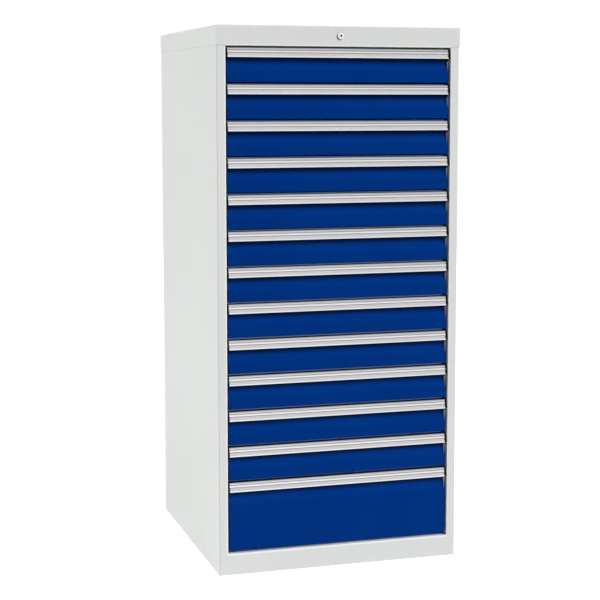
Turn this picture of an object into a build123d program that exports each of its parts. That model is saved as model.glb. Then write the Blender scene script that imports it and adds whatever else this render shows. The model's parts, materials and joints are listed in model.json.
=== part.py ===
from build123d import *
import os
from math import cos, radians, sin

# A floor-standing steel workshop cabinet: twelve shallow drawers over one deep drawer, each on
# full-extension runners, with one lock in the top rail that holds every drawer through a bar.
# Sizes are in millimetres. The origin is on the floor under the middle of the cabinet, +X is to
# the right, the drawers open towards -Y and +Z is up.

os.makedirs("parts", exist_ok=True)

# Overall size
WIDTH = 705
DEPTH = 736
HEIGHT = 1520
HEAD = 56  # height of the top rail
PLINTH = 60  # height of the bottom rail
SHALLOW_ROW = 100
DEEP_ROWS = 2  # how many shallow rows' place the deep drawer takes, with what is left over
ROW_TOP_GAP = 1  # between the top rail and the first row
ROW_BOTTOM_GAP = 3  # between the last row and the bottom rail

# Carcass
CARCASS_SHEET = 1.5
CARCASS_BEND = 2.5  # outside radius
STILE_WIDTH = 25.3
STILE_DEPTH = 20
STILE_LIP = 15
REAR_FLANGE = 20
FOOT_FLANGE = 25
SIDE_TOP_GAP = 2  # between the side panels and the underside of the cover

# Top cover
COVER_SHEET = 1.2
COVER_BEND = 2.5
COVER_SKIRT = 54
COVER_RETURN = 16  # depth of the flange under the top rail

# Slotted posts behind the stiles
POST_SHEET = 1.5
POST_WIDTH = 40
POST_TOP_GAP = 40  # from the cover down to the post

# Running gaps
FIT = 0.3
BEARING_FIT = 0.05

# Runners
SLIDE_SPACE = 21.5  # from the tray's side to the post
RAIL_SHEET = 1.5
RAIL_HEIGHT = 44
RAIL_DEPTH = 10
RAIL_LIP = 6
RAIL_DROP = 60  # from the row's top to the rail's middle
RAIL_FRONT = 22  # how far the runners start behind the carcass front
RAIL_REAR = 36  # how far the fixed rails run on behind the trays
CARRIAGE_HEAD = 2
CARRIAGE_WEB = 4
CARRIAGE_INSET = 2  # at each end of the fixed rail
DRAWER_RAIL_END = 4  # from the tray's rear to the drawer rail's end
HOOK_SHEET = 2.4
HOOK_HEIGHT = 16
HOOK_NOSE = 6  # how far the nose hangs down behind the post
HOOK_LIFT = 6.5  # room above the hook to lift it in

# Drawer trays
DRAWER_SHEET = 1.2
TRAY_DROP = 14  # from the row's top to the tray's rim
TRAY_FLOOR_GAP = 4  # from the tray's underside to the bottom of its row
TRAY_HEM = 8
REAR_SPACE = 104  # from the trays' rear to the rear panel

# Drawer fronts
FRONT_SHEET = 1.2
FRONT_SIDE_GAP = 5
FRONT_BOTTOM_GAP = 3.5
FRONT_RECESS = 6.5  # of the fronts behind the carcass front and the handles
FRONT_SETBACK = 18.5  # of their upper part, behind the handle
SWEEP_START = 41  # where the front starts to come forward, below the row's top
SWEEP_END = 65
SWEEP_BEND = 12
FRONT_TOP_FLANGE = 11

# Aluminium handles
HANDLE_DROP = 3  # from the row's top to the handle's top
HANDLE_LIP_DROP = 28.7  # to the handle's lower edge
HANDLE_LEAN = 14  # degrees by which the face leans back
HANDLE_WALL = 1.6
HANDLE_LEG = 21  # down the front
HANDLE_TAIL = 31  # from the carcass front to the upstand on top of the front
UPSTAND = 3
LIP_HEIGHT = 3.2
LIP_ROUND = 0.9
LABEL_HEIGHT = 8.5
LABEL_DEPTH = 1.6
BEAD_HEIGHT = 1.2
BEAD_STEP = 0.8
RIDGE_HEIGHT = 5.2
RIDGE_SWELL = 0.6
GROOVE_HEIGHT = 2.2
GROOVE_DEPTH = 1.2
CAP_THICKNESS = 4
CAP_DROP = 2.5  # of the cap's rear corner below the handle's lip

# Drawer catches and lock bar, behind the trays
CATCH_SHEET = 2
CATCH_WIDTH = 40
CATCH_DROP = 20  # from the row's top to the catch
CATCH_REACH = 18
CATCH_FLANGE = 10
CATCH_LEAF = 20
HOOK_TIP_REACH = 8  # from the tray's rear to the hook's tip
HOOK_ARM = 3
HOOK_RISE = 10  # from the arm's underside up to the tip
HOOK_WIDTH = 12
HOOK_CLEARANCE = 2  # below the catch when unlocked
BAR_REACH = 24.7  # from the tray's rear to the bar
BAR_SHEET = 3
BAR_WIDTH = 30
BAR_END = 12  # how far the bar runs past its slot
BAR_FOOT = 48  # and on below the tip of its lowest hook

# Lock channel that carries the bar
CHANNEL_WIDTH = 50
CHANNEL_FLANGE = 15
CHANNEL_TOP_GAP = 12
GUIDE_HEIGHT = 30
GUIDE_LIP = 7
GUIDES = 4

# Lock
LOCK_DROP = 26  # from the cabinet's top to the lock's axis
LOCK_FLANGE_R = 9.3
LOCK_BODY_R = 8
LOCK_PROUD = 5
LOCK_EDGE = 1  # chamfer round its face
LOCK_LENGTH = 28
LOCK_NUT_R = 12
LOCK_NUT = 5
PLUG_R = 5.5
PLUG_COLLAR_R = 7
PLUG_COLLAR = 2
KEYHOLE_R = 2.9
KEYHOLE_DEPTH = 2.5
KEYWAY_WIDTH = 1.4
KEYWAY_HEIGHT = 7
KEYWAY_DEPTH = 7
ROD_R = 4
CRANK_R = 6  # from the rod's axis to the crank pin
CRANK_DISC_R = 9.5
CRANK_DISC = 4
CRANK_GAP = 0.7
CRANK_PIN_R = 2
CRANK_SLOT_PLAY = 0.4
CRANK_REST = 225  # degrees from +X, seen from the front
BEARING_SHEET = 3
BEARING_WIDTH = 46
BEARING_HEIGHT = 24

# Places that follow from these sizes
opening_top = HEIGHT - HEAD
row_foot = PLINTH + ROW_BOTTOM_GAP
row_space = opening_top - ROW_TOP_GAP - row_foot
shallow_drawers = round(row_space / SHALLOW_ROW) - DEEP_ROWS
deep_row = row_space - shallow_drawers * SHALLOW_ROW
row_heights = [SHALLOW_ROW] * shallow_drawers + [deep_row]
row_tops = [row_foot + sum(row_heights[row:]) for row in range(len(row_heights))]
carcass_half = WIDTH / 2 - COVER_SHEET
carcass_depth = DEPTH - 2 * COVER_SHEET
carcass_front = -DEPTH / 2 + COVER_SHEET
side_half = carcass_half - CARCASS_SHEET
opening_half = carcass_half - STILE_WIDTH
rear_inside = carcass_depth - 2 * CARCASS_SHEET
cover_inside = HEIGHT - COVER_SHEET
tray_half = opening_half - SLIDE_SPACE
tray_front = FRONT_SETBACK + FRONT_SHEET
tray_rear = rear_inside - REAR_SPACE
tray_depth = tray_rear - tray_front
front_half = opening_half - FRONT_SIDE_GAP
rail_levels = [top - RAIL_DROP for top in row_tops]
rail_rear = tray_rear + RAIL_REAR
post_places = [STILE_DEPTH, rail_rear - POST_WIDTH]
tip_drop = CATCH_DROP + CATCH_SHEET + CATCH_FLANGE + HOOK_CLEARANCE
tip_front = tray_rear + HOOK_TIP_REACH
bar_front = tray_rear + BAR_REACH
bar_bottom = row_tops[-1] - tip_drop - BAR_FOOT
channel_half = CHANNEL_WIDTH / 2
channel_face = bar_front + BAR_SHEET + FIT
channel_foot = rear_inside - CARCASS_SHEET
guide_half = BAR_WIDTH / 2 + FIT + CARCASS_SHEET
guide_front = bar_front - FIT - CARCASS_SHEET
guide_step = (row_tops[0] - row_tops[-1]) / (GUIDES - 1)
lock_z = HEIGHT - LOCK_DROP
crank_pin_x = CRANK_R * cos(radians(CRANK_REST))
crank_pin_z = lock_z + CRANK_R * sin(radians(CRANK_REST))
crank_front = bar_front - CRANK_GAP - CRANK_DISC
bearing_front = crank_front - FIT - BEARING_SHEET
plug_front = -DEPTH / 2 - LOCK_PROUD + FIT
collar_front = -DEPTH / 2 + LOCK_LENGTH + FIT


def behind(depth):
    """The Y of a point that lies this far behind the carcass front."""
    return carcass_front + depth


def across(depth):
    """An upright plane across the cabinet, this far behind the carcass front, facing the front."""
    return Plane.XZ.offset(-behind(depth))


def folded(points, sheet, bend=0, side=Side.LEFT):
    """Draw a folded sheet in the open sketch: its skin runs through the points."""
    with BuildLine(mode=Mode.PRIVATE) as skin:
        FilletPolyline(*points, radius=bend)
        offset(amount=sheet, side=side)
    make_face(skin.edges())


def save(piece, name):
    """Name a finished piece and write it."""
    piece.label = name
    export_step(piece, f"parts/{name}.step")


# Carcass: two folded side panels and a rear panel, welded together
with BuildPart() as side_left:
    with BuildSketch():
        folded(
            [
                (-carcass_half + REAR_FLANGE, behind(carcass_depth)),
                (-carcass_half, behind(carcass_depth)),
                (-carcass_half, behind(0)),
                (-opening_half, behind(0)),
                (-opening_half, behind(STILE_DEPTH)),
                (-opening_half - STILE_LIP, behind(STILE_DEPTH)),
            ],
            CARCASS_SHEET,
            [0, CARCASS_BEND, CARCASS_BEND, 0],
        )
    extrude(amount=cover_inside - SIDE_TOP_GAP)
    # Below the opening the stile's return makes way for the bottom rail
    with BuildSketch():
        with Locations((-opening_half, behind(0))):
            Rectangle(CARCASS_BEND, STILE_DEPTH, align=(Align.MAX, Align.MIN))
    extrude(amount=PLINTH, mode=Mode.SUBTRACT)

side_right = mirror(side_left.part, about=Plane.YZ)

with BuildPart() as rear_panel:
    with BuildSketch(across(rear_inside)):
        Rectangle(2 * side_half, cover_inside - SIDE_TOP_GAP, align=(Align.CENTER, Align.MIN))
    extrude(amount=-CARCASS_SHEET)

save(Compound(children=[side_left.part, side_right, rear_panel.part]), "carcass_shell")

# Base: bottom rail, floor plate and feet, folded from one sheet
with BuildPart() as base_tray:
    with BuildSketch(Plane.YZ):
        folded(
            [
                (behind(rear_inside) - FOOT_FLANGE, 0),
                (behind(rear_inside), 0),
                (behind(rear_inside), PLINTH),
                (behind(0), PLINTH),
                (behind(0), 0),
                (behind(FOOT_FLANGE), 0),
            ],
            CARCASS_SHEET,
            [0, 0, CARCASS_BEND, 0],
        )
    extrude(amount=side_half, both=True)
    # The front corners leave room for the stiles
    with BuildSketch():
        with Locations((opening_half + CARCASS_BEND, behind(0))):
            Rectangle(STILE_WIDTH, STILE_DEPTH, align=(Align.MIN, Align.MIN))
        mirror(about=Plane.YZ)
    extrude(amount=PLINTH, mode=Mode.SUBTRACT)

save(base_tray.part, "base_tray")

# Top cover: a shallow tray turned over, with the top rail's return between the stiles
with BuildPart() as top_cover:
    with BuildSketch(Plane.XY.offset(HEIGHT)):
        Rectangle(WIDTH, DEPTH)
    extrude(amount=-COVER_SKIRT)
    fillet(top_cover.faces().sort_by(Axis.Z)[-1].edges(), COVER_BEND)
    offset(amount=-COVER_SHEET, openings=top_cover.faces().sort_by(Axis.Z)[0])
    with BuildSketch(Plane.YZ):
        folded(
            [
                (-DEPTH / 2, HEIGHT - COVER_SKIRT + COVER_BEND),
                (-DEPTH / 2, opening_top),
                (-DEPTH / 2 + COVER_RETURN, opening_top),
            ],
            COVER_SHEET,
            COVER_BEND,
        )
    extrude(amount=opening_half, both=True)
    with BuildSketch(Plane.XZ.offset(DEPTH / 2)):
        with Locations((0, lock_z)):
            Circle(LOCK_BODY_R + FIT)
    extrude(amount=-COVER_SHEET, mode=Mode.SUBTRACT)

save(top_cover.part, "top_cover")


# Slotted posts that carry the runners, and the lock channel on the rear panel
def slotted_post(place):
    """A channel against the left side panel, with a slot for the hook of each fixed rail."""
    front, rear = behind(place), behind(place + POST_WIDTH)
    slot = HOOK_HEIGHT + HOOK_LIFT
    with BuildPart() as post:
        with BuildSketch(Plane.XY.offset(PLINTH)):
            corners = [(-side_half, front), (-opening_half, front)]
            corners += [(-opening_half, rear), (-side_half, rear)]
            folded(corners, POST_SHEET)
        extrude(amount=cover_inside - POST_TOP_GAP - PLINTH)
        with BuildSketch(Plane.YZ.offset(-opening_half)):
            with Locations(*[((front + rear) / 2, level - HOOK_HEIGHT / 2) for level in rail_levels]):
                Rectangle(HOOK_SHEET + 2 * FIT, slot, align=(Align.CENTER, Align.MIN))
        extrude(amount=-POST_SHEET, mode=Mode.SUBTRACT)
    return post.part


posts = [slotted_post(place) for place in post_places]
posts += [mirror(post, about=Plane.YZ) for post in posts]

with BuildPart() as lock_channel:
    with BuildSketch(Plane.XY.offset(PLINTH)):
        folded(
            [
                (-channel_half - CHANNEL_FLANGE, behind(channel_foot)),
                (-channel_half, behind(channel_foot)),
                (-channel_half, behind(channel_face)),
                (channel_half, behind(channel_face)),
                (channel_half, behind(channel_foot)),
                (channel_half + CHANNEL_FLANGE, behind(channel_foot)),
            ],
            CARCASS_SHEET,
        )
    extrude(amount=cover_inside - CHANNEL_TOP_GAP - PLINTH)
    # Guides that the lock bar slides in, with a slot between their lips for its hooks
    for guide in range(GUIDES):
        with BuildSketch(Plane.XY.offset(rail_levels[-1] + guide * guide_step)):
            folded(
                [
                    (-guide_half, behind(channel_face)),
                    (-guide_half, behind(guide_front)),
                    (-guide_half + CARCASS_SHEET + GUIDE_LIP, behind(guide_front)),
                ],
                CARCASS_SHEET,
            )
            mirror(about=Plane.YZ)
        extrude(amount=GUIDE_HEIGHT)
    # Bearing for the rear end of the lock's rod
    with BuildSketch(Plane.XY.offset(lock_z - BEARING_HEIGHT / 2)):
        folded(
            [
                (-BEARING_WIDTH / 2, behind(channel_face)),
                (-BEARING_WIDTH / 2, behind(bearing_front)),
                (BEARING_WIDTH / 2, behind(bearing_front)),
                (BEARING_WIDTH / 2, behind(channel_face)),
            ],
            BEARING_SHEET,
        )
    extrude(amount=BEARING_HEIGHT)
    with BuildSketch(across(bearing_front)):
        with Locations((0, lock_z)):
            Circle(ROD_R + BEARING_FIT)
    extrude(amount=-BEARING_SHEET, mode=Mode.SUBTRACT)

save(Compound(children=[*posts, lock_channel.part]), "inner_frame")


# Runners: a fixed C rail on the posts, a sliding H carriage and a C rail on the tray's side
def rail_section(back, level, facing):
    """Draw a lipped C rail: its back stands at X = back and it opens towards facing."""
    front = back + facing * RAIL_DEPTH
    half = RAIL_HEIGHT / 2
    corners = [(front, level + half - RAIL_LIP), (front, level + half), (back, level + half)]
    corners += [(back, level - half), (front, level - half), (front, level - half + RAIL_LIP)]
    folded(corners, RAIL_SHEET, side=Side.LEFT if facing > 0 else Side.RIGHT)


with BuildPart() as fixed_rails:
    with BuildSketch(across(RAIL_FRONT)):
        for level in rail_levels:
            rail_section(-opening_half, level, 1)
    extrude(amount=RAIL_FRONT - rail_rear)
    for place in post_places:
        with BuildSketch(across(place + (POST_WIDTH - HOOK_SHEET) / 2)):
            hook_back = -opening_half - POST_SHEET - FIT
            for level in rail_levels:
                seat = level - HOOK_HEIGHT / 2
                with BuildLine():
                    Polyline(
                        (-opening_half + RAIL_SHEET / 2, level + HOOK_HEIGHT / 2),
                        (hook_back - HOOK_SHEET, level + HOOK_HEIGHT / 2),
                        (hook_back - HOOK_SHEET, seat - HOOK_NOSE),
                        (hook_back, seat - HOOK_NOSE),
                        (hook_back, seat),
                        (-opening_half + RAIL_SHEET / 2, seat),
                        close=True,
                    )
                make_face()
        extrude(amount=-HOOK_SHEET)
    mirror(about=Plane.YZ)

save(fixed_rails.part, "fixed_rails")


def carriage_pair(level):
    """The sliding members of one drawer: each head is held behind the lips of its C rail."""
    head_height = RAIL_HEIGHT - 2 * RAIL_SHEET - 2 * FIT
    lips_inside = RAIL_DEPTH - RAIL_SHEET - FIT - CARRIAGE_HEAD / 2
    heads = [opening_half - lips_inside, tray_half + lips_inside]
    head_gap = heads[0] - heads[1]
    with BuildPart() as carriages:
        with BuildSketch(across(RAIL_FRONT + CARRIAGE_INSET)):
            with Locations(*[(-head, level) for head in heads]):
                Rectangle(CARRIAGE_HEAD, head_height)
            with Locations((-sum(heads) / 2, level)):
                Rectangle(head_gap, CARRIAGE_WEB)
        extrude(amount=RAIL_FRONT + 2 * CARRIAGE_INSET - rail_rear)
        mirror(about=Plane.YZ)
    return carriages.part


def drawer_tray(top, bottom):
    """The sheet-steel tray with a hemmed rim, its two rails and the catch on its rear wall."""
    middle = behind((tray_front + tray_rear) / 2)
    rim = top - TRAY_DROP
    hem = 2 * DRAWER_SHEET
    with BuildPart() as tray:
        with BuildSketch(Plane.XY.offset(bottom + TRAY_FLOOR_GAP)):
            with Locations((0, middle)):
                Rectangle(2 * tray_half, tray_depth)
        extrude(amount=rim - bottom - TRAY_FLOOR_GAP)
        offset(amount=-DRAWER_SHEET, openings=tray.faces().sort_by(Axis.Z)[-1])
        with BuildSketch(Plane.XY.offset(rim)):
            with Locations((0, middle)):
                Rectangle(2 * tray_half, tray_depth)
                Rectangle(2 * (tray_half - hem), tray_depth - 2 * hem, mode=Mode.SUBTRACT)
        extrude(amount=-TRAY_HEM)
    with BuildPart() as rails:
        with BuildSketch(across(RAIL_FRONT + CARRIAGE_INSET)):
            rail_section(-tray_half, top - RAIL_DROP, -1)
        extrude(amount=RAIL_FRONT + CARRIAGE_INSET + DRAWER_RAIL_END - tray_rear)
        mirror(about=Plane.YZ)
    with BuildPart() as catch:
        catch_top = top - CATCH_DROP
        with BuildSketch(Plane.YZ):
            folded(
                [
                    (behind(tray_rear), catch_top - CATCH_LEAF),
                    (behind(tray_rear), catch_top),
                    (behind(tray_rear + CATCH_REACH), catch_top),
                    (behind(tray_rear + CATCH_REACH), catch_top - CATCH_SHEET - CATCH_FLANGE),
                ],
                CATCH_SHEET,
                side=Side.RIGHT,
            )
        extrude(amount=CATCH_WIDTH / 2, both=True)
    return Compound(children=[tray.part, rails.part, catch.part])


def drawer_front(top, bottom):
    """The painted front: set back behind the handle, then swept out nearly to the stiles."""
    upper = top - HANDLE_DROP - HANDLE_WALL
    lower = bottom + FRONT_BOTTOM_GAP
    face = [
        (behind(FRONT_SETBACK), upper),
        (behind(FRONT_SETBACK), top - SWEEP_START),
        (behind(FRONT_RECESS), top - SWEEP_END),
        (behind(FRONT_RECESS), lower),
        (behind(tray_front), lower),
    ]
    with BuildPart() as front:
        with BuildSketch(Plane.YZ):
            folded(
                [(behind(FRONT_SETBACK + FRONT_TOP_FLANGE), upper), *face],
                FRONT_SHEET,
                [0, SWEEP_BEND, SWEEP_BEND, 0],
            )
        extrude(amount=front_half, both=True)
        # End plates close the sides of the fold
        with BuildSketch(Plane.YZ.offset(-front_half)):
            with BuildLine():
                sweep = FilletPolyline(*face, radius=[SWEEP_BEND, SWEEP_BEND, 0])
                Polyline(sweep @ 1, (behind(tray_front), upper), sweep @ 0)
            make_face()
        extrude(amount=FRONT_SHEET)
        mirror(about=Plane.YZ)
    return front.part


def handle_face(top, up, back):
    """A point of the handle's section, up along its leaning face and back from it."""
    lean = radians(HANDLE_LEAN)
    rise = up * cos(lean) - back * sin(lean)
    return behind(up * sin(lean) + back * cos(lean)), top - HANDLE_LIP_DROP + rise


def drawer_handle(top):
    """The extruded pull: lower lip, label channel, bead, ridge, groove and top band over a grip."""
    lean = radians(HANDLE_LEAN)
    face_length = (HANDLE_LIP_DROP - HANDLE_DROP) / cos(lean)
    wall_back = LABEL_DEPTH + HANDLE_WALL
    leg_front = FRONT_SETBACK - HANDLE_WALL
    inner_top = top - HANDLE_DROP - HANDLE_WALL
    label_top = LIP_HEIGHT + LABEL_HEIGHT
    bead_top = label_top + BEAD_HEIGHT
    ridge_low = bead_top + BEAD_STEP
    ridge_top = ridge_low + RIDGE_HEIGHT
    groove_top = ridge_top + GROOVE_HEIGHT
    back_length = (HANDLE_LIP_DROP - HANDLE_DROP - HANDLE_WALL + wall_back * sin(lean)) / cos(lean)
    with BuildPart() as bar:
        with BuildSketch(Plane.YZ):
            with BuildLine():
                Polyline(
                    handle_face(top, 0, wall_back),
                    handle_face(top, 0, LIP_ROUND),
                    handle_face(top, LIP_ROUND, 0),
                    handle_face(top, LIP_HEIGHT, 0),
                    handle_face(top, LIP_HEIGHT, LABEL_DEPTH),
                    handle_face(top, label_top, LABEL_DEPTH),
                    handle_face(top, label_top, 0),
                    handle_face(top, bead_top, 0),
                    handle_face(top, bead_top, RIDGE_SWELL),
                    handle_face(top, ridge_low, RIDGE_SWELL),
                )
                ThreePointArc(
                    handle_face(top, ridge_low, RIDGE_SWELL),
                    handle_face(top, ridge_low + RIDGE_HEIGHT / 2, 0),
                    handle_face(top, ridge_top, RIDGE_SWELL),
                )
                Polyline(
                    handle_face(top, ridge_top, RIDGE_SWELL),
                    handle_face(top, ridge_top, GROOVE_DEPTH),
                    handle_face(top, groove_top, GROOVE_DEPTH),
                    handle_face(top, groove_top, 0),
                    handle_face(top, face_length - LIP_ROUND, 0),
                    (handle_face(top, face_length, 0)[0] + LIP_ROUND, top - HANDLE_DROP),
                    (behind(HANDLE_TAIL - HANDLE_WALL), top - HANDLE_DROP),
                    (behind(HANDLE_TAIL - HANDLE_WALL), top - HANDLE_DROP + UPSTAND),
                    (behind(HANDLE_TAIL), top - HANDLE_DROP + UPSTAND),
                    (behind(HANDLE_TAIL), inner_top),
                    (behind(FRONT_SETBACK), inner_top),
                    (behind(FRONT_SETBACK), top - HANDLE_DROP - HANDLE_LEG),
                    (behind(leg_front), top - HANDLE_DROP - HANDLE_LEG),
                    (behind(leg_front), inner_top),
                    handle_face(top, back_length, wall_back),
                    handle_face(top, 0, wall_back),
                )
            make_face()
        extrude(amount=front_half, both=True)
    with BuildPart() as caps:
        with BuildSketch(Plane.YZ.offset(front_half)):
            with BuildLine():
                Polyline(
                    handle_face(top, 0, 0),
                    handle_face(top, face_length, 0),
                    (behind(FRONT_SETBACK), top - HANDLE_DROP),
                    (behind(FRONT_SETBACK), top - HANDLE_LIP_DROP - CAP_DROP),
                    close=True,
                )
            make_face()
        extrude(amount=CAP_THICKNESS)
        mirror(about=Plane.YZ)
    return Compound(children=[bar.part, caps.part])


for row, row_height in enumerate(row_heights):
    row_top = row_tops[row]
    row_bottom = row_top - row_height
    drawer = f"drawer_{row + 1:02d}"
    save(drawer_tray(row_top, row_bottom), f"{drawer}_tray")
    save(drawer_front(row_top, row_bottom), f"{drawer}_front")
    save(drawer_handle(row_top), f"{drawer}_handle")
    save(carriage_pair(row_top - RAIL_DROP), f"{drawer}_carriages")

# Lock: housing with its nut in the top rail, a plug with its rod and crank, and the lock bar
with BuildPart() as lock_housing:
    with BuildSketch(Plane.XZ.offset(DEPTH / 2)):
        with Locations((0, lock_z)):
            Circle(LOCK_FLANGE_R)
    extrude(amount=LOCK_PROUD)
    chamfer(lock_housing.faces().sort_by(Axis.Y)[0].edges(), LOCK_EDGE)
    with BuildSketch(Plane.XZ.offset(DEPTH / 2)):
        with Locations((0, lock_z)):
            Circle(LOCK_BODY_R)
    extrude(amount=-LOCK_LENGTH)
    with BuildSketch(across(0)):
        with Locations((0, lock_z)):
            RegularPolygon(LOCK_NUT_R, 6)
    extrude(amount=-LOCK_NUT)
    with BuildSketch(Plane.XZ.offset(DEPTH / 2 + LOCK_PROUD)):
        with Locations((0, lock_z)):
            Circle(PLUG_R + BEARING_FIT)
    extrude(amount=-LOCK_PROUD - LOCK_LENGTH, mode=Mode.SUBTRACT)

save(lock_housing.part, "lock_housing")

with BuildPart() as lock_plug:
    sections = [
        (plug_front, collar_front, PLUG_R),
        (collar_front, collar_front + PLUG_COLLAR, PLUG_COLLAR_R),
        (collar_front + PLUG_COLLAR, behind(crank_front), ROD_R),
        (behind(crank_front), behind(crank_front + CRANK_DISC), CRANK_DISC_R),
    ]
    for start, end, radius in sections:
        with BuildSketch(Plane.XZ.offset(-start)):
            with Locations((0, lock_z)):
                Circle(radius)
        extrude(amount=start - end)
    with BuildSketch(across(crank_front + CRANK_DISC)):
        with Locations((crank_pin_x, crank_pin_z)):
            Circle(CRANK_PIN_R)
    extrude(amount=-CRANK_GAP - BAR_SHEET)
    with BuildSketch(Plane.XZ.offset(-plug_front)):
        with Locations((0, lock_z)):
            Circle(KEYHOLE_R)
    extrude(amount=-KEYHOLE_DEPTH, mode=Mode.SUBTRACT)
    with BuildSketch(Plane.XZ.offset(-plug_front)):
        with Locations((0, lock_z)):
            Rectangle(KEYWAY_WIDTH, KEYWAY_HEIGHT)
    extrude(amount=-KEYWAY_DEPTH, mode=Mode.SUBTRACT)

save(lock_plug.part, "lock_plug")

with BuildPart() as lock_bar:
    with BuildSketch(across(bar_front)):
        with Locations((0, bar_bottom)):
            Rectangle(
                BAR_WIDTH, crank_pin_z + BAR_END - bar_bottom, align=(Align.CENTER, Align.MIN)
            )
        with Locations(((crank_pin_x - CRANK_R) / 2, crank_pin_z)):
            SlotOverall(
                CRANK_R + crank_pin_x + 2 * (CRANK_PIN_R + 2 * CRANK_SLOT_PLAY),
                2 * (CRANK_PIN_R + CRANK_SLOT_PLAY),
                mode=Mode.SUBTRACT,
            )
    extrude(amount=-BAR_SHEET)
    with BuildSketch(Plane.YZ):
        for row_top in row_tops:
            tip_top = row_top - tip_drop
            arm_low = tip_top - HOOK_RISE
            with BuildLine():
                Polyline(
                    (behind(bar_front), arm_low),
                    (behind(tip_front), arm_low),
                    (behind(tip_front), tip_top),
                    (behind(tip_front + HOOK_ARM), tip_top),
                    (behind(tip_front + HOOK_ARM), arm_low + HOOK_ARM),
                    (behind(bar_front), arm_low + HOOK_ARM),
                    close=True,
                )
            make_face()
    extrude(amount=HOOK_WIDTH / 2, both=True)

save(lock_bar.part, "lock_bar")
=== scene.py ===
import json
from math import radians

import bmesh
import bpy
import numpy as np
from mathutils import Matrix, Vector


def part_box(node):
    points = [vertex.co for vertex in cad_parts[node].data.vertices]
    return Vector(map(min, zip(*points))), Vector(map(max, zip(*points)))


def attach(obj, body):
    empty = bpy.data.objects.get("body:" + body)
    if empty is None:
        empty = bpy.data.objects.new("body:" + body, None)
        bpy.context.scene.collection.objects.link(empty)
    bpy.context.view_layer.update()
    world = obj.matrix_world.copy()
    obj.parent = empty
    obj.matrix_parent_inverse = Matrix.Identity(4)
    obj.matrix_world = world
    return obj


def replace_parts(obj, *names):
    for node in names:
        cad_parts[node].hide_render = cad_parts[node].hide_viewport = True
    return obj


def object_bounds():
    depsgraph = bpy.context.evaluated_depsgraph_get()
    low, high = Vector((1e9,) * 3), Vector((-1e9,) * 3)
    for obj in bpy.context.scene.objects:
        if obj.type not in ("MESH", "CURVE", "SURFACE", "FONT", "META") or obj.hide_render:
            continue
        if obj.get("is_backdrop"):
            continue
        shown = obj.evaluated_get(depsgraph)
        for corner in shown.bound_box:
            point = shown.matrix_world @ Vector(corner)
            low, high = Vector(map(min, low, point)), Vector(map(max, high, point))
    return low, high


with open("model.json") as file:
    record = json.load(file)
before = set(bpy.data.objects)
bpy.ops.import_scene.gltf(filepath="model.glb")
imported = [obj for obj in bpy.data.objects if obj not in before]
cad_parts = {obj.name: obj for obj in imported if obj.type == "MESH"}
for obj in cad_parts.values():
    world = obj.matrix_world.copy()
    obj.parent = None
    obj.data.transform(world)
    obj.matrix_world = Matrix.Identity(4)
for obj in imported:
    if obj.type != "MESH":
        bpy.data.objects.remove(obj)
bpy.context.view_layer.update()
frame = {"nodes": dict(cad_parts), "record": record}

# A steel workshop cabinet of thirteen drawers, dressed in its paint, aluminium and plating.
# Lengths are in metres, in the cabinet's own frame: the drawers open towards -Y.

# Sizes of the pieces made here, which stand where the CAD says
CARCASS_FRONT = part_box("carcass_shell")[0].y
FRONT_RECESS = 0.0065
FRONT_SETBACK = 0.0185
SHEET = 0.0012
SWEEP_START = 0.041
SWEEP_END = 0.065
SWEEP_BEND = 0.012
FRONT_FLANGE = 0.011
FRONT_EDGE_BEND = 0.0022
FRONT_SIDE_GAP = 0.005  # between a drawer front and the stile
FOLD_BEND = 0.0008
LOWER_BEND = 0.0015
RAW_EDGE = 0.0004  # rounding of a cut edge of sheet
REAR_STEP = 0.0003  # how far the folded side edges stop before the panel's rear

HANDLE_DROP = 0.003
HANDLE_LIP_DROP = 0.0287
HANDLE_LEAN = radians(14)
HANDLE_WALL = 0.0016
HANDLE_LEG = 0.021
HANDLE_TAIL = 0.031
UPSTAND = 0.003
LIP_HEIGHT = 0.0032
LIP_ROUND = 0.0011
CRISP = 0.00018
LABEL_HEIGHT = 0.0085
LABEL_DEPTH = 0.0016
LABEL_KEEPER = 0.0006
LABEL_SHEET = 0.0007
LABEL_FIT = 0.0001
BEAD_HEIGHT = 0.0012
BEAD_STEP = 0.0008
RIDGE_HEIGHT = 0.0052
RIDGE_SWELL = 0.0006
RIDGE_ROUND = 0.002
GROOVE_HEIGHT = 0.0022
GROOVE_DEPTH = 0.0012
TOP_LINE = 0.001  # height of the bright line above the groove
CAP_THICKNESS = 0.004
CAP_LAP = 0.0012  # how far the caps reach in over the ends of the bar
CAP_DROP = 0.0025
CAP_ROUND = 0.0007
CAP_CORNERS = [0.0008, 0.0012, 0.0003, 0.0008]  # at the lip, top front, top rear and foot

LOCK_FLANGE_R = 0.0093
LOCK_BODY_R = 0.008
LOCK_BORE_R = 0.00555
LOCK_PROUD = 0.005
LOCK_LENGTH = 0.028
LOCK_FACE_BEVEL = 0.0004  # depth of the dish round the plug
LOCK_FACE_DISH = 0.0008  # width of the dish
LOCK_RIM = 0.001  # the flange's outer chamfer
LOCK_ROUNDS = [0.0002, 0.0002, 0.0003, 0.0005, 0.0008, 0.0002, 0.0001, 0.0002]
LOCK_PAINT_MARGIN = 0.0002
LOCK_RING_SCALE = 5000.0
KEYHOLE_R = 0.0029
THREAD_PITCH = 0.001
THREAD_DEPTH = 0.0004
THREAD_START = 0.0015  # behind the flange
THREAD_END = 0.001  # before the barrel's end
NUT_FLATS_R = 0.0104
NUT_CORNERS_R = 0.0119
NUT_THICKNESS = 0.005
NUT_BEVEL = 0.0012
NUT_BEVEL_DEPTH = 0.0006
NUT_SEAT = 0.0001  # between the nut and the top rail

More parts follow.
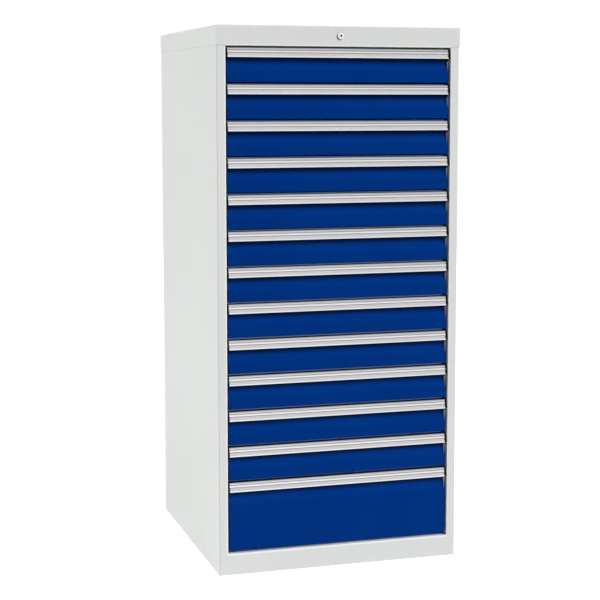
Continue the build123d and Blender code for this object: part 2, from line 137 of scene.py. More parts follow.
# Painted highlights: bright lines along the folds round the drawer opening
LINE_WIDTH = 0.002
LINE_DEPTH = 0.003  # behind the carcass front
STILE_LINE = 0.001  # outside the opening's edge
HEAD_LINE = 0.0022  # above it
FOOT_LINE = 0.003  # below it
RAIL_LINE_SHARE = 0.75
FOLD_HIGHLIGHT_STRENGTH = 0.85

# Painted highlight or painted shade on each band of the pull, as a share of the whole effect
TOP_LINE_HIGHLIGHT = 0.6
GROOVE_SHADE = 0.4
STEP_SHADE = 0.45
TOP_WALL_SHADE = 0.35
REAR_SHADE = 0.6


def seen(red, green, blue):
    """The linear colour of a paint that is seen as this sRGB colour, each part from 0 to 255."""
    part = np.array([red, green, blue]) / 255
    linear = np.where(part <= 0.04045, part / 12.92, ((part + 0.055) / 1.055) ** 2.4)
    return (*linear.tolist(), 1.0)


# Shader nodes
def add(tree, kind, settings=None, **inputs):
    """Place a node, set its own settings and its sockets; a socket given as input links to it."""
    node = tree.nodes.new(kind)
    for name, value in (settings or {}).items():
        setattr(node, name, value)
    for name, value in inputs.items():
        socket = node.inputs[int(name[1:])] if name[1:].isdigit() else node.inputs[name.replace("_", " ")]
        if isinstance(value, bpy.types.NodeSocket):
            tree.links.new(value, socket)
        else:
            socket.default_value = value
    return node


def sum_up(tree, operation, *values):
    """One step of arithmetic on numbers and sockets."""
    settings = {"operation": operation}
    return add(tree, "ShaderNodeMath", settings, **{f"_{i}": v for i, v in enumerate(values)}).outputs[0]


def spread(tree, value, low, high):
    """A mask from 0 to 1 stretched between two numbers."""
    node = add(tree, "ShaderNodeMapRange", Value=value)
    node.inputs["To Min"].default_value = low
    node.inputs["To Max"].default_value = high
    return node.outputs[0]


def blend_colours(tree, factor, first, second):
    """The first colour where the factor is 0, the second where it is 1."""
    node = add(tree, "ShaderNodeMix", {"data_type": "RGBA"})
    for socket, value in zip((node.inputs[0], node.inputs[6], node.inputs[7]), (factor, first, second)):
        if isinstance(value, bpy.types.NodeSocket):
            tree.links.new(value, socket)
        else:
            socket.default_value = value
    return node.outputs[2]


def new_group(name, inputs, outputs):
    """An empty shader group: its inputs are numbers with a starting value, its outputs masks."""
    tree = bpy.data.node_groups.new(name, "ShaderNodeTree")
    for label, start in inputs.items():
        socket = tree.interface.new_socket(label, in_out="INPUT", socket_type="NodeSocketFloat")
        socket.default_value = start
    for label in outputs:
        tree.interface.new_socket(label, in_out="OUTPUT", socket_type="NodeSocketFloat")
    return tree, tree.nodes.new("NodeGroupInput").outputs, tree.nodes.new("NodeGroupOutput").inputs


def noise(tree, place, scale, detail=2.0, roughness=0.5):
    """Smooth noise from 0 to 1 at a place."""
    return add(
        tree, "ShaderNodeTexNoise", Vector=place, Scale=scale, Detail=detail, Roughness=roughness
    ).outputs["Fac"]


def powder_coat_group():
    """Powder coat: a fine peel in its surface and a slow drift in its shade."""
    scales = {"Peel Scale": 700.0, "Drift Scale": 2.5}
    tree, given, out = new_group("powder coat", scales, ["Peel", "Drift"])
    place = tree.nodes.new("ShaderNodeTexCoord").outputs["Object"]
    coarse = noise(tree, place, given["Peel Scale"], detail=1.0)
    fine_scale = sum_up(tree, "MULTIPLY", given["Peel Scale"], 3.1)
    fine = noise(tree, place, fine_scale, detail=0.0)
    peel = sum_up(tree, "MULTIPLY_ADD", fine, 0.35, coarse)
    tree.links.new(peel, out["Peel"])
    drift = noise(tree, place, given["Drift Scale"])
    tree.links.new(drift, out["Drift"])
    return tree


# This mask places the painted fold highlights of the carcass paint.
def fold_group():
    """A line along a fold: 1 on the fold, falling off as a bell with the distance from it."""
    lengths = {"Along": 0.0, "Fold": 0.0, "Width": LINE_WIDTH}
    tree, given, out = new_group("fold", lengths, ["Line"])
    distance = sum_up(tree, "SUBTRACT", given["Along"], given["Fold"])
    share = sum_up(tree, "DIVIDE", distance, given["Width"])
    square = sum_up(tree, "MULTIPLY", share, share)
    bell = sum_up(tree, "EXPONENT", sum_up(tree, "MULTIPLY", square, -1.0))
    tree.links.new(bell, out["Line"])
    return tree


def drawn_grain_group():
    """Die lines of an extrusion: noise stretched about a thousand times along X."""
    scales = {"Line Scale": 900.0, "Length Scale": 1.2}
    tree, given, out = new_group("drawn grain", scales, ["Lines", "Haze"])
    place = tree.nodes.new("ShaderNodeTexCoord").outputs["Object"]
    fine = given["Line Scale"]
    scale = add(tree, "ShaderNodeCombineXYZ", X=given["Length Scale"], Y=fine, Z=fine).outputs[0]
    multiply = {"operation": "MULTIPLY"}
    stretched = add(tree, "ShaderNodeVectorMath", multiply, _0=place, _1=scale).outputs[0]
    tree.links.new(noise(tree, stretched, 1.0, detail=3.0, roughness=0.6), out["Lines"])
    tree.links.new(noise(tree, place, 14.0), out["Haze"])
    return tree


def plating_group():
    """Zinc plating: soft clouds, with faint crystals a few millimetres wide."""
    scales = {"Cloud Scale": 18.0, "Crystal Scale": 160.0}
    tree, given, out = new_group("plating", scales, ["Clouds", "Crystals"])
    place = tree.nodes.new("ShaderNodeTexCoord").outputs["Object"]
    tree.links.new(noise(tree, place, given["Cloud Scale"], detail=3.0), out["Clouds"])
    cells = add(tree, "ShaderNodeTexVoronoi", Vector=place, Scale=given["Crystal Scale"])
    shade = add(tree, "ShaderNodeSeparateColor", Color=cells.outputs["Color"]).outputs[0]
    tree.links.new(shade, out["Crystals"])
    return tree


POWDER_COAT = powder_coat_group()
FOLD = fold_group()
DRAWN_GRAIN = drawn_grain_group()
PLATING = plating_group()


def use(tree, group, **inputs):
    """Place a shared effect with this material's own values."""
    return add(tree, "ShaderNodeGroup", {"node_tree": group}, **inputs).outputs


def new_material(name, **constants):
    """A material with its Principled shader, whose constants are set on its own sockets."""
    material = bpy.data.materials.new(name)
    material.use_nodes = True
    tree = material.node_tree
    shader = tree.nodes["Principled BSDF"]
    for label, value in constants.items():
        shader.inputs[label.replace("_", " ")].default_value = value
    return material, tree, shader


def bump(tree, shader, height, strength, distance):
    """Raise the surface by a height mask."""
    node = add(tree, "ShaderNodeBump", Height=height, Strength=strength, Distance=distance)
    tree.links.new(node.outputs["Normal"], shader.inputs["Normal"])


def carcass_paint():
    """Light grey powder coat, with painted highlights along the folds round the drawer opening."""
    material, tree, shader = new_material("carcass powder coat", Specular_IOR_Level=0.3)
    coat = use(tree, POWDER_COAT, Peel_Scale=650.0, Drift_Scale=1.7)
    plain = blend_colours(tree, coat["Drift"], seen(212, 214, 212), seen(223, 225, 223))
    place = tree.nodes.new("ShaderNodeTexCoord").outputs["Object"]
    split = add(tree, "ShaderNodeSeparateXYZ", Vector=place).outputs
    from_middle = sum_up(tree, "ABSOLUTE", split["X"])
    side_fold = OPENING_HALF + STILE_LINE
    sides = use(tree, FOLD, Along=from_middle, Fold=side_fold)["Line"]
    head = use(tree, FOLD, Along=split["Z"], Fold=OPENING_TOP + HEAD_LINE)["Line"]
    foot = use(tree, FOLD, Along=split["Z"], Fold=OPENING_BOTTOM - FOOT_LINE)["Line"]
    between = sum_up(tree, "LESS_THAN", from_middle, side_fold)
    rails = sum_up(tree, "MULTIPLY", sum_up(tree, "MAXIMUM", head, foot), between)
    rails = sum_up(tree, "MULTIPLY", rails, RAIL_LINE_SHARE)
    above = sum_up(tree, "GREATER_THAN", split["Z"], OPENING_BOTTOM)
    below = sum_up(tree, "LESS_THAN", split["Z"], OPENING_TOP)
    stiles = sum_up(tree, "MULTIPLY", sides, sum_up(tree, "MULTIPLY", above, below))
    near = sum_up(tree, "LESS_THAN", split["Y"], CARCASS_FRONT + LINE_DEPTH)
    # Painted highlight: the folds round the opening are lightened towards white.
    folds = sum_up(tree, "MULTIPLY", sum_up(tree, "MAXIMUM", stiles, rails), near)
    strength = sum_up(tree, "MULTIPLY", folds, FOLD_HIGHLIGHT_STRENGTH)
    colour = blend_colours(tree, strength, plain, seen(252, 253, 252))
    tree.links.new(colour, shader.inputs["Base Color"])
    tree.links.new(spread(tree, coat["Peel"], low=0.36, high=0.48), shader.inputs["Roughness"])
    bump(tree, shader, coat["Peel"], strength=0.12, distance=0.0002)
    return material


def front_paint():
    """Gentian blue powder coat."""
    material, tree, shader = new_material(
        "blue powder coat", Specular_IOR_Level=0.12, Specular_Tint=(0.02, 0.2, 1.0, 1.0)
    )
    coat = use(tree, POWDER_COAT, Peel_Scale=650.0, Drift_Scale=4.0)
    colour = blend_colours(tree, coat["Drift"], seen(1, 44, 117), seen(2, 52, 126))
    tree.links.new(colour, shader.inputs["Base Color"])
    tree.links.new(spread(tree, coat["Peel"], low=0.38, high=0.5), shader.inputs["Roughness"])
    bump(tree, shader, coat["Peel"], strength=0.12, distance=0.0002)
    return material


def tray_paint():
    """Light grey powder coat inside the drawers, a little duller than the carcass."""
    material, tree, shader = new_material("tray powder coat", Specular_IOR_Level=0.35)
    coat = use(tree, POWDER_COAT, Peel_Scale=520.0, Drift_Scale=6.0)
    colour = blend_colours(tree, coat["Drift"], seen(200, 203, 202), seen(212, 215, 214))
    tree.links.new(colour, shader.inputs["Base Color"])
    tree.links.new(spread(tree, coat["Peel"], low=0.42, high=0.56), shader.inputs["Roughness"])
    bump(tree, shader, coat["Peel"], strength=0.15, distance=0.0002)
    return material


def handle_aluminium():
    """Satin anodised extrusion with the die's lines along it, with painted highlights on its lip and
    ridge.

    The pull's own attributes say where a highlight is painted on it and where shade is painted into its
    recesses.
    """
    material, tree, shader = new_material("drawn aluminium", Metallic=1.0)
    grain = use(tree, DRAWN_GRAIN, Line_Scale=1500.0, Length_Scale=1.5)
    # Painted highlight: lip, ridge and the line above the groove are drawn near white by the first mask.
    painted_highlight = add(tree, "ShaderNodeAttribute", {"attribute_name": "painted_highlight"}).outputs["Fac"]
    satin = blend_colours(tree, grain["Lines"], seen(186, 185, 189), seen(203, 202, 206))
    bright = blend_colours(tree, grain["Lines"], seen(238, 238, 239), seen(252, 252, 252))
    lines = blend_colours(tree, painted_highlight, satin, bright)
    # Painted shade: groove, step, top wall and the part behind the panel are darkened by the second mask.
    painted_shade = add(tree, "ShaderNodeAttribute", {"attribute_name": "painted_shade"}).outputs["Fac"]
    colour = blend_colours(tree, painted_shade, lines, seen(112, 111, 114))
    tree.links.new(colour, shader.inputs["Base Color"])
    line_roughness = spread(tree, grain["Lines"], low=0.3, high=0.42)
    rough = sum_up(tree, "MULTIPLY_ADD", grain["Haze"], 0.08, line_roughness)
    tree.links.new(rough, shader.inputs["Roughness"])
    bump(tree, shader, grain["Lines"], strength=0.08, distance=0.0002)
    return material


def label_strip():
    """Blank card behind a clear cover."""
    material, tree, shader = new_material(
        "label strip", Coat_Weight=0.6, Coat_Roughness=0.12, Roughness=0.6, Specular_IOR_Level=0.3
    )
    place = tree.nodes.new("ShaderNodeTexCoord").outputs["Object"]
    fibres = noise(tree, place, 420.0, detail=4.0, roughness=0.65)
    colour = blend_colours(tree, fibres, seen(188, 188, 191), seen(205, 205, 207))
    tree.links.new(colour, shader.inputs["Base Color"])
    bump(tree, shader, fibres, strength=0.05, distance=0.0001)
    return material


def black_plastic():
    """Moulded end caps with a fine spark texture."""
    material, tree, shader = new_material("black moulded plastic", Specular_IOR_Level=0.12)
    place = tree.nodes.new("ShaderNodeTexCoord").outputs["Object"]
    sparks = noise(tree, place, 2600.0, detail=1.0)
    colour = blend_colours(tree, noise(tree, place, 60.0), seen(7, 7, 8), seen(15, 15, 16))
    tree.links.new(colour, shader.inputs["Base Color"])
    tree.links.new(spread(tree, sparks, low=0.45, high=0.65), shader.inputs["Roughness"])
    bump(tree, shader, sparks, strength=0.2, distance=0.0001)
    return material


def zinc_plated():
    """Bright zinc plating on rolled sheet."""
    material, tree, shader = new_material("zinc plating", Metallic=1.0)
    plating = use(tree, PLATING, Cloud_Scale=16.0, Crystal_Scale=170.0)
    cloudy = blend_colours(tree, plating["Clouds"], seen(186, 190, 194), seen(210, 212, 213))
    tree.links.new(cloudy, shader.inputs["Base Color"])
    cloud_roughness = spread(tree, plating["Clouds"], low=0.28, high=0.42)
    rough = sum_up(tree, "MULTIPLY_ADD", plating["Crystals"], 0.1, cloud_roughness)
    tree.links.new(rough, shader.inputs["Roughness"])
    bump(tree, shader, plating["Crystals"], strength=0.05, distance=0.0001)
    return material


def lock_chrome():
    """Nickel-chrome turned on a lathe: rings about the lock's axis.

    The keyhole is filled with painted shade, and the flange's rim behind its chamfer is darkened
    with painted shade and painted dark reflection.
    """
    material, tree, shader = new_material("turned nickel chrome", Metallic=1.0)
    place = tree.nodes.new("ShaderNodeTexCoord").outputs["Object"]
    centred = add(tree, "ShaderNodeMapping", Vector=place)
    centred.inputs["Location"].default_value = (0, 0, -LOCK_CENTRE.z)
    centred.inputs["Scale"].default_value = (1, 0, 1)
    radius = add(
        tree, "ShaderNodeVectorMath", {"operation": "LENGTH"}, _0=centred.outputs[0]
    ).outputs["Value"]
    stretched = sum_up(tree, "MULTIPLY", radius, LOCK_RING_SCALE)
    ring = add(tree, "ShaderNodeCombineXYZ", X=stretched).outputs[0]
    rings = noise(tree, ring, 1.0)
    turned_face = blend_colours(tree, rings, seen(246, 246, 245), seen(254, 254, 253))
    inwards = add(tree, "ShaderNodeSeparateXYZ", Vector=place).outputs["Y"]
    behind_face = sum_up(tree, "GREATER_THAN", inwards, LOCK_CENTRE.y + LOCK_FACE_BEVEL)
    rim_end = LOCK_CENTRE.y + LOCK_RIM + LOCK_PAINT_MARGIN
    behind_rim = sum_up(tree, "GREATER_THAN", inwards, rim_end)
    in_mouth = sum_up(tree, "LESS_THAN", radius, KEYHOLE_R + LOCK_PAINT_MARGIN / 2)
    on_side = sum_up(tree, "GREATER_THAN", radius, LOCK_FLANGE_R - LOCK_PAINT_MARGIN)
    rim = sum_up(tree, "MULTIPLY", on_side, behind_rim)
    keyhole = sum_up(tree, "MULTIPLY", in_mouth, behind_face)
    # Painted shade and painted dark reflection on the flange's side behind its chamfer.
    rim_shaded = blend_colours(tree, rim, turned_face, seen(52, 51, 50))
    # Painted shade: the keyhole is filled with near black.
    colour = blend_colours(tree, keyhole, rim_shaded, seen(6, 6, 6))
    tree.links.new(colour, shader.inputs["Base Color"])
    tree.links.new(spread(tree, rings, low=0.12, high=0.26), shader.inputs["Roughness"])
    bump(tree, shader, rings, strength=0.05, distance=0.0001)
    return material


# Shapes
def rounded(corners, radii, steps):
    """The points round a closed outline whose corners are turned into arcs.

    An arc touches both runs of its corner. Its centre lies on the corner's bisector, the radius
    over the sine of half the corner's angle away, and its points are the centre plus the radius
    times (cos t, sin t), with t even from one touching point to the other.
    """
    corners = np.asarray(corners, float)
    radii = np.asarray(radii, float)
    before = np.roll(corners, 1, axis=0) - corners
    after = np.roll(corners, -1, axis=0) - corners
    before /= np.linalg.norm(before, axis=1, keepdims=True)
    after /= np.linalg.norm(after, axis=1, keepdims=True)
    half = np.arccos(np.clip((before * after).sum(1), -1, 1)) / 2
    bisector = before + after
    bisector /= np.linalg.norm(bisector, axis=1, keepdims=True)
    centres = corners + bisector * (radii / np.sin(half))[:, None]
    reach = (radii / np.tan(half))[:, None]
    start = corners + before * reach - centres
    end = corners + after * reach - centres
    first = np.arctan2(start[:, 1], start[:, 0])
    turn = (np.arctan2(end[:, 1], end[:, 0]) - first + np.pi) % (2 * np.pi) - np.pi
    angles = first[:, None] + turn[:, None] * np.linspace(0, 1, steps)
    arcs = np.stack([np.cos(angles), np.sin(angles)], axis=-1) * radii[:, None, None]
    return (centres[:, None] + arcs).reshape(-1, 2)


def across(outline, places):
    """Copies of an outline of (depth, height) points, one at each X."""
    sections = np.empty((len(places), len(outline), 3))
    sections[..., 0] = np.asarray(places)[:, None]
    sections[..., 1:] = outline
    return sections


def loft_faces(count, sections, first=0):
    """The faces over closed sections: each point joins the next along and the next section's."""
    index = first + np.arange(sections * count).reshape(sections, count)
    following = np.roll(index, -1, axis=1)
    walls = np.stack([index[:-1], following[:-1], following[1:], index[1:]], axis=-1)
    return walls.reshape(-1, 4).tolist() + [index[0][::-1].tolist(), index[-1].tolist()]


def make_piece(name, points, faces, material, body, smooth=30):
    """A mesh from points and faces, turned outwards, smooth below an angle, on its body."""
    mesh = bpy.data.meshes.new(name)
    mesh.from_pydata(points.reshape(-1, 3).tolist(), [], faces)
    shape = bmesh.new()
    shape.from_mesh(mesh)
    bmesh.ops.recalc_face_normals(shape, faces=shape.faces)
    shape.to_mesh(mesh)
    shape.free()
    mesh.shade_smooth()
    mesh.set_sharp_from_angle(angle=radians(smooth))
    mesh.materials.append(material)
    piece = bpy.data.objects.new(name, mesh)
    bpy.context.scene.collection.objects.link(piece)
    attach(piece, body)
    return piece


def drawer_panel(drawer, row_top, bottom, half):
    """The pressed front: one outline in depth and height, carried across the drawer.

    Towards each end the outline moves back by r (1 - cos a) while X runs out by r sin a, with a
    from 0 to 90 degrees, which folds the end's edge over a radius r.
    """
    back = FRONT_SETBACK + SHEET
    top = row_top - HANDLE_DROP - HANDLE_WALL
    corners = [
        (FRONT_SETBACK + FRONT_FLANGE, top - SHEET),
        (FRONT_SETBACK + FRONT_FLANGE, top),
        (FRONT_SETBACK, top),
        (FRONT_SETBACK, row_top - SWEEP_START),
        (FRONT_RECESS, row_top - SWEEP_END),
        (FRONT_RECESS, bottom),
        (back, bottom),
        (back, top - SHEET),
    ]
    radii = [RAW_EDGE, RAW_EDGE, FOLD_BEND, SWEEP_BEND, SWEEP_BEND, LOWER_BEND, RAW_EDGE, RAW_EDGE]
    outline = rounded(corners, radii, 9)
    turn = np.linspace(0, np.pi / 2, 7)
    fold_out = half - FRONT_EDGE_BEND + FRONT_EDGE_BEND * np.sin(turn)
    fold_back = FRONT_EDGE_BEND * (1 - np.cos(turn))
    places = np.concatenate([-fold_out[::-1], [-half / 2, 0, half / 2], fold_out])
    shift = np.concatenate([fold_back[::-1], [0, 0, 0], fold_back])
    sections = across(outline, places)
    depth = sections[..., 1]
    shifted = np.minimum(depth + shift[:, None], back - REAR_STEP)
    sections[..., 1] = np.where(depth < back - REAR_STEP, shifted, depth) + CARCASS_FRONT
    faces = loft_faces(len(outline), len(places))
    return make_piece(f"{drawer}_panel", sections, faces, BLUE, drawer, 40)


def leaning(points):
    """Points given up along the handle's leaning face and back from it, as depth and height."""
    up, back = np.asarray(points, float).T
    depth = up * np.sin(HANDLE_LEAN) + back * np.cos(HANDLE_LEAN)
    height = up * np.cos(HANDLE_LEAN) - back * np.sin(HANDLE_LEAN)
    return np.stack([depth, height - HANDLE_LIP_DROP], axis=1)


FACE_LENGTH = (HANDLE_LIP_DROP - HANDLE_DROP) / np.cos(HANDLE_LEAN)


def pull_outline():
    """The extrusion's outline below the row's top: lip, label channel, bead, ridge, groove, grip.

    Each point of the face is up along it, back from it, and the radius of its corner. The ridge
    swells towards the hand: it stands back s (1 - 2u)^2, with u from 0 at its foot to 1 at its top.
    """
    wall_back = LABEL_DEPTH + HANDLE_WALL
    label_top = LIP_HEIGHT + LABEL_HEIGHT
    bead_top = label_top + BEAD_HEIGHT
    ridge_low = bead_top + BEAD_STEP
    ridge_top = ridge_low + RIDGE_HEIGHT
    groove_top = ridge_top + GROOVE_HEIGHT
    leg_front = FRONT_SETBACK - HANDLE_WALL
    inner_drop = HANDLE_DROP + HANDLE_WALL
    inside = (HANDLE_LIP_DROP - inner_drop + wall_back * np.sin(HANDLE_LEAN)) / np.cos(HANDLE_LEAN)
    share = np.linspace(0, 1, 7)[1:-1]
    swell = np.stack([ridge_low + share * RIDGE_HEIGHT, RIDGE_SWELL * (1 - 2 * share) ** 2], axis=1)
    face = [
        (0, wall_back, CRISP),
        (0, 0, LIP_ROUND),
        (LIP_HEIGHT + LABEL_KEEPER, 0, CRISP),
        (LIP_HEIGHT + LABEL_KEEPER, LABEL_KEEPER, CRISP),
        (LIP_HEIGHT, LABEL_KEEPER, CRISP),
        (LIP_HEIGHT, LABEL_DEPTH, CRISP),
        (label_top, LABEL_DEPTH, CRISP),
        (label_top, LABEL_KEEPER, CRISP),
        (label_top - LABEL_KEEPER, LABEL_KEEPER, CRISP),
        (label_top - LABEL_KEEPER, 0, CRISP),
        (bead_top, 0, 2 * CRISP),
        (bead_top, RIDGE_SWELL, CRISP),
        (ridge_low, RIDGE_SWELL, CRISP / 2),
        *[(up, back, RIDGE_ROUND) for up, back in swell],
        (ridge_top, RIDGE_SWELL, CRISP / 2),
        (ridge_top, GROOVE_DEPTH, CRISP),
        (groove_top, GROOVE_DEPTH, CRISP),
        (groove_top, 0, CRISP),
        (FACE_LENGTH, 0, LIP_ROUND),
    ]
    corners = leaning([point[:2] for point in face]).tolist()
    corners += [
        (HANDLE_TAIL - HANDLE_WALL, -HANDLE_DROP),
        (HANDLE_TAIL - HANDLE_WALL, UPSTAND - HANDLE_DROP),
        (HANDLE_TAIL, UPSTAND - HANDLE_DROP),
        (HANDLE_TAIL, -inner_drop),
        (FRONT_SETBACK, -inner_drop),
        (FRONT_SETBACK, -HANDLE_DROP - HANDLE_LEG),
        (leg_front, -HANDLE_DROP - HANDLE_LEG),
        (leg_front, -inner_drop),
        *leaning([(inside, wall_back)]).tolist(),
    ]
    radii = [point[2] for point in face] + [CRISP] * 7 + [3 * CRISP] * 2
    return rounded(corners, radii, 4)


def finish_of(outline):
    """Two masks over the outline's points: painted highlight and painted shade.

    Up and back are measured along and behind the leaning face. Lip, ridge and the line above the
    groove get a painted highlight. Groove, step, top wall and what lies behind the panel get
    painted shade, each by its own share.
    """
    height = outline[:, 1] + HANDLE_LIP_DROP
    up = outline[:, 0] * np.sin(HANDLE_LEAN) + height * np.cos(HANDLE_LEAN)
    back = outline[:, 0] * np.cos(HANDLE_LEAN) - height * np.sin(HANDLE_LEAN)
    ridge_low = LIP_HEIGHT + LABEL_HEIGHT + BEAD_HEIGHT + BEAD_STEP
    on_lip = up < LIP_HEIGHT + LABEL_KEEPER + CRISP
    on_ridge = (up > ridge_low - CRISP) & (up < ridge_low + RIDGE_HEIGHT + CRISP)
    ridge_top = ridge_low + RIDGE_HEIGHT
    groove_top = ridge_top + GROOVE_HEIGHT
    at_face = back < HANDLE_WALL
    painted_highlight = 1.0 * ((on_lip | on_ridge) & (back < RIDGE_SWELL - CRISP))
    on_line = (up > groove_top - CRISP) & (up < groove_top + TOP_LINE)
    painted_highlight += TOP_LINE_HIGHLIGHT * (on_line & (back < CRISP))
    in_groove = (up > ridge_top - CRISP) & (up < groove_top + CRISP) & (back > RIDGE_SWELL)
    painted_shade = GROOVE_SHADE * (in_groove & at_face)
    in_step = (up > LIP_HEIGHT + LABEL_HEIGHT + CRISP) & (up < ridge_low + CRISP)
    painted_shade += STEP_SHADE * (in_step & at_face)
    on_top = (outline[:, 1] > -HANDLE_DROP - HANDLE_WALL / 2) & (back > CRISP)
    behind_panel = outline[:, 0] > FRONT_SETBACK + CRISP
    painted_shade += TOP_WALL_SHADE * (on_top & ~behind_panel)
    painted_shade += REAR_SHADE * behind_panel
    return painted_highlight, painted_shade


def drawer_pull(drawer, row_top, half):
    """The extruded bar: its outline carried straight across the drawer."""
    outline = PULL_OUTLINE + [CARCASS_FRONT, row_top]
    places = [CAP_LAP - half, 0, half - CAP_LAP]
    faces = loft_faces(len(outline), len(places))
    piece = make_piece(
        f"{drawer}_pull", across(outline, places), faces, ALUMINIUM, drawer
    )
    # The masks of painted highlight and painted shade, one value per point of every section.
    for name, mask in zip(("painted_highlight", "painted_shade"), finish_of(PULL_OUTLINE)):
        values = piece.data.attributes.new(name, "FLOAT", "POINT")
        values.data.foreach_set("value", np.tile(mask, len(places)))
    return piece


def label_card(drawer, row_top, half):
    """The card strip that slides into the label channel."""
    low = LIP_HEIGHT + LABEL_FIT
    high = LIP_HEIGHT + LABEL_HEIGHT - LABEL_FIT
    front = LABEL_KEEPER + LABEL_FIT
    rear = front + LABEL_SHEET
    corners = leaning([(low, front), (high, front), (high, rear), (low, rear)])
    outline = rounded(corners, [CRISP] * 4, 4) + [CARCASS_FRONT, row_top]
    places = [2 * CAP_LAP - half, 0, half - 2 * CAP_LAP]
    faces = loft_faces(len(outline), len(places))
    return make_piece(
        f"{drawer}_label", across(outline, places), faces, LABEL, drawer
    )


def end_caps(drawer, row_top, half):
    """The two moulded caps: the pull's wedge outline, drawn in over a rounded outer edge.

    The outline shrinks about its middle by r (1 - cos a) while X runs out by r sin a.
    """
    corners = leaning([(0, 0), (FACE_LENGTH, 0)]).tolist()
    corners += [(FRONT_SETBACK, -HANDLE_DROP), (FRONT_SETBACK, -HANDLE_LIP_DROP - CAP_DROP)]
    outline = rounded(corners, CAP_CORNERS, 6)
    middle = outline.mean(axis=0)
    turn = np.linspace(0, np.pi / 2, 6)
    outer = half + CAP_THICKNESS - CAP_ROUND
    places = np.concatenate([[half - CAP_LAP], outer + CAP_ROUND * np.sin(turn)])
    inset = np.concatenate([[0], CAP_ROUND * (1 - np.cos(turn))])
    share = 1 - inset / np.abs(outline - middle).max()
    right = across(outline, places)
    right[..., 1:] = middle + (right[..., 1:] - middle) * share[:, None, None]
    right[..., 1:] += [CARCASS_FRONT, row_top]
    left = right * [-1, 1, 1]
    points = np.concatenate([right, left])
    faces = loft_faces(len(outline), len(places))
    faces += loft_faces(len(outline), len(places), right[..., 0].size)
    return make_piece(f"{drawer}_caps", points, faces, BLACK, drawer)


def turned(outline, segments, radius_of=None):
    """A ring turned about the lock's axis: (r, y) goes to (r sin t, y, r cos t), t round a circle."""
    turn = np.linspace(0, 2 * np.pi, segments, endpoint=False)[:, None]
    radius = outline[None, :, 0] if radius_of is None else radius_of(outline[None, :, 0], turn)
    radius = radius * np.ones_like(turn)
    along = outline[None, :, 1] * np.ones_like(turn)
    points = np.stack([radius * np.sin(turn), along, radius * np.cos(turn)], axis=-1)
    index = np.arange(points[..., 0].size).reshape(radius.shape)
    beside = np.roll(index, -1, axis=0)
    faces = np.stack([index, beside, np.roll(beside, -1, axis=1), np.roll(index, -1, axis=1)], axis=-1)
    return points + [0, 0, LOCK_CENTRE.z], faces.reshape(-1, 4).tolist()


def lock_barrel():
    """The lock's housing: a rounded flange, dished towards the plug, on a threaded barrel."""
    face = LOCK_CENTRE.y
    seat = face + LOCK_PROUD
    end = seat + LOCK_LENGTH
    corners = [
        (LOCK_BORE_R, end),
        (LOCK_BORE_R, face + LOCK_FACE_BEVEL),
        (LOCK_BORE_R + LOCK_FACE_DISH, face),
        (LOCK_FLANGE_R - LOCK_RIM, face),
        (LOCK_FLANGE_R, face + LOCK_RIM),
        (LOCK_FLANGE_R, seat),
        (LOCK_BODY_R, seat),
    ]
    steps = 5
    flange = rounded(corners + [(LOCK_BODY_R, end)], LOCK_ROUNDS, steps)[:-steps]
    turns = np.arange(seat + THREAD_START, end - THREAD_END, THREAD_PITCH / 2)
    crest = LOCK_BODY_R - THREAD_DEPTH * (np.arange(len(turns)) % 2)
    thread = np.stack([crest, turns], axis=1)
    outline = np.concatenate([flange, thread, [(LOCK_BODY_R - THREAD_DEPTH, end)]])
    points, faces = turned(outline, 72)
    piece = make_piece("lock_barrel", points, faces, CHROME, "carcass", 40)
    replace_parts(piece, "lock_housing")


def lock_nut():
    """The hexagon nut behind the top rail.

    Its radius is the flats' radius over the cosine of the angle from the middle of the flat, and
    never more than a cone that chamfers the corners at both faces.
    """
    front = CARCASS_FRONT + NUT_SEAT
    rear = front + NUT_THICKNESS
    outline = np.array(
        [
            (LOCK_BODY_R, rear),
            (LOCK_BODY_R, front),
            (NUT_CORNERS_R - NUT_BEVEL, front),
            (NUT_CORNERS_R, front + NUT_BEVEL_DEPTH),
            (NUT_CORNERS_R, rear - NUT_BEVEL_DEPTH),
            (NUT_CORNERS_R - NUT_BEVEL, rear),
        ]
    )

    def hexagon(radius, turn):
        from_flat = (turn + np.pi / 6) % (np.pi / 3) - np.pi / 6
        return np.minimum(radius, NUT_FLATS_R / np.cos(from_flat))

    points, faces = turned(outline, 72, hexagon)
    make_piece("lock_nut", points, faces, ZINC, "carcass", 40)


# Places read from the frame
OPENING_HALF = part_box("drawer_01_front")[1].x + FRONT_SIDE_GAP
OPENING_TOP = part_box("top_cover")[0].z
OPENING_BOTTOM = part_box("base_tray")[1].z
housing_low, housing_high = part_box("lock_housing")
LOCK_CENTRE = Vector((0, housing_low.y, (housing_low.z + housing_high.z) / 2))
drawers = sorted(node[:-6] for node in frame["nodes"] if node.endswith("_front"))

# Finishes
CARCASS = carcass_paint()
BLUE = front_paint()
TRAY = tray_paint()
ALUMINIUM = handle_aluminium()
LABEL = label_strip()
BLACK = black_plastic()
ZINC = zinc_plated()
CHROME = lock_chrome()
FINISHES = {
    "carcass_paint": CARCASS,
    "front_paint": BLUE,
    "tray_paint": TRAY,
    "handle_aluminium": ALUMINIUM,
    "zinc_plated_steel": ZINC,
    "lock_chrome": CHROME,
}
for part in frame["record"]["subparts"]:
    mesh = frame["nodes"][part["node"]].data
    mesh.materials.clear()
    mesh.materials.append(FINISHES[part["material_slot"]])

# Drawers
PULL_OUTLINE = pull_outline()
for drawer in drawers:
    low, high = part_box(f"{drawer}_front")
    row_top = high.z + HANDLE_WALL + HANDLE_DROP
    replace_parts(drawer_panel(drawer, row_top, low.z, high.x), f"{drawer}_front")
    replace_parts(drawer_pull(drawer, row_top, high.x), f"{drawer}_handle")
    label_card(drawer, row_top, high.x)
    end_caps(drawer, row_top, high.x)

# Lock
lock_barrel()
lock_nut()


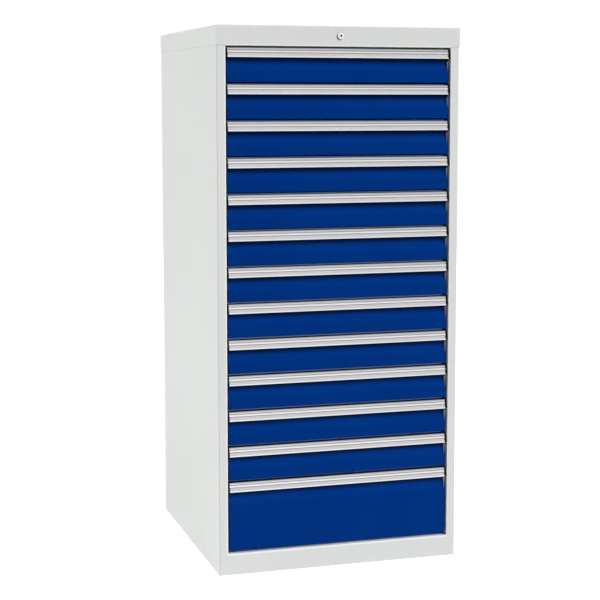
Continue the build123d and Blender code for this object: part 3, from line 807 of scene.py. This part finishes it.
# Floor, light and camera
def floor(radius, corners):
    """A pale disc on the ground: (r cos t, r sin t, 0), with t in even steps round the circle.

    The camera and mirrored rays see it glow nearly white. Other rays see its plain grey.
    """
    turn = np.linspace(0, 2 * np.pi, corners, endpoint=False)
    points = radius * np.stack([np.cos(turn), np.sin(turn), 0 * turn], axis=1)
    mesh = bpy.data.meshes.new("floor")
    mesh.from_pydata(points.tolist(), [], [list(range(corners))])
    material, tree, shader = new_material("pale floor", Roughness=0.9, Specular_IOR_Level=0.0)
    shader.inputs["Base Color"].default_value = (0.4, 0.4, 0.4, 1)
    shader.inputs["Emission Color"].default_value = (1, 1, 1, 1)
    rays = tree.nodes.new("ShaderNodeLightPath").outputs
    looked_at = sum_up(tree, "MULTIPLY", rays["Is Camera Ray"], 0.84)
    glow = sum_up(tree, "MAXIMUM", looked_at, rays["Is Glossy Ray"])
    tree.links.new(glow, shader.inputs["Emission Strength"])
    mesh.materials.append(material)
    disc = bpy.data.objects.new("floor", mesh)
    bpy.context.scene.collection.objects.link(disc)
    disc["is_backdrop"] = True


def soft_sun(name, towards, strength, spread_angle):
    """A broad, even light from a direction, at 1 full on a face towards it; it isn't mirrored."""
    lamp = bpy.data.lights.new(name, "SUN")
    lamp.energy = strength * np.pi
    lamp.angle = radians(spread_angle)
    source = bpy.data.objects.new(name, lamp)
    source.rotation_euler = Vector(towards).to_track_quat("Z", "Y").to_euler()
    source.visible_glossy = False
    bpy.context.scene.collection.objects.link(source)


def studio(ambient, dusk):
    """A white surround for the camera, a dimmer one for the light, and mirrored duller to the right."""
    world = bpy.data.worlds.new("studio")
    world.use_nodes = True
    tree = world.node_tree
    tree.nodes.clear()
    rays = tree.nodes.new("ShaderNodeLightPath").outputs
    towards = tree.nodes.new("ShaderNodeTexCoord").outputs["Generated"]
    split = add(tree, "ShaderNodeSeparateXYZ", Vector=towards).outputs
    falloff = add(tree, "ShaderNodeMapRange", Value=split["X"])
    limits = {"From Min": 0.15, "From Max": 0.55, "To Min": 1.0, "To Max": dusk}
    for name, limit in limits.items():
        falloff.inputs[name].default_value = limit
    mirrored = sum_up(tree, "MULTIPLY", rays["Is Glossy Ray"], falloff.outputs[0])
    mirrored = sum_up(tree, "MAXIMUM", mirrored, rays["Is Transmission Ray"])
    seen_directly = sum_up(tree, "MAXIMUM", rays["Is Camera Ray"], mirrored)
    strength = add(tree, "ShaderNodeMapRange", Value=seen_directly)
    strength.inputs["To Min"].default_value = ambient
    background = add(tree, "ShaderNodeBackground", Strength=strength.outputs[0])
    background.inputs["Color"].default_value = (1, 1, 1, 1)
    output = tree.nodes.new("ShaderNodeOutputWorld")
    tree.links.new(background.outputs[0], output.inputs["Surface"])
    bpy.context.scene.world = world


def photo_camera():
    """The camera of the photograph, from its perspective: place, yaw, pitch and focal length."""
    data = bpy.data.cameras.new("camera")
    data.sensor_width = 36
    data.lens = 91.426
    data.shift_x = -0.0162
    data.shift_y = -0.059
    camera = bpy.data.objects.new("camera", data)
    camera.location = (-1.323, -4.3864, 1.3163)
    camera.rotation_euler = (radians(90 - 6.135), 0, radians(-17.066))
    bpy.context.scene.collection.objects.link(camera)
    bpy.context.scene.camera = camera


floor(radius=9, corners=96)
soft_sun("key", towards=(0.5, -0.7, 0.55), strength=1.13, spread_angle=34)
soft_sun("side fill", towards=(-0.93, 0.3, 0.36), strength=0.86, spread_angle=36)
studio(ambient=0.05, dusk=0.5)
photo_camera()
bpy.context.scene.view_settings.view_transform = "Standard"

low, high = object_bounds()
